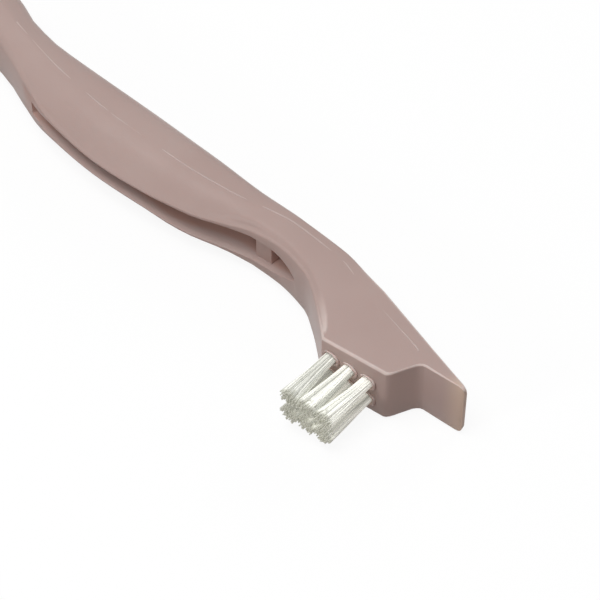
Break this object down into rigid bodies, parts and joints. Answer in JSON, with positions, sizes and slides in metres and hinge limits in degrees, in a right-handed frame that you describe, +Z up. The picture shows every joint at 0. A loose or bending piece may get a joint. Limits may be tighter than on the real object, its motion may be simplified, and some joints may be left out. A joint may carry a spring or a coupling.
{
  "type": "crevice brush",
  "caption": "Slim moulded handle with a cored slot under the grip and a stepped head: short rows of stiff anchored bristle tufts beside a wedge scraper, for narrow gaps",
  "frame": {"origin": "Middle of the object's box in X and Y, on the surface it lies on (z = 0)", "axes": "The brush lies on its side. +X runs along the handle towards the scraper's edge, +Z up through the thickness, and -Y is the way the bristles point"},
  "size_m": [0.18, 0.0338, 0.012],
  "materials": {
    "handle": "satin polypropylene, dusty mauve",
    "bristle": "clear white nylon bristle",
    "anchor": "flat galvanised wire"
  },
  "bodies": {
    "root": {"handle": "handle", "tuft_1a": "bristle", "tuft_2a": "bristle", "tuft_3a": "bristle", "tuft_1b": "bristle", "tuft_2b": "bristle", "tuft_3b": "bristle", "anchor_1a": "anchor", "anchor_2a": "anchor", "anchor_3a": "anchor", "anchor_1b": "anchor", "anchor_2b": "anchor", "anchor_3b": "anchor"}
  },
  "joints": []
}
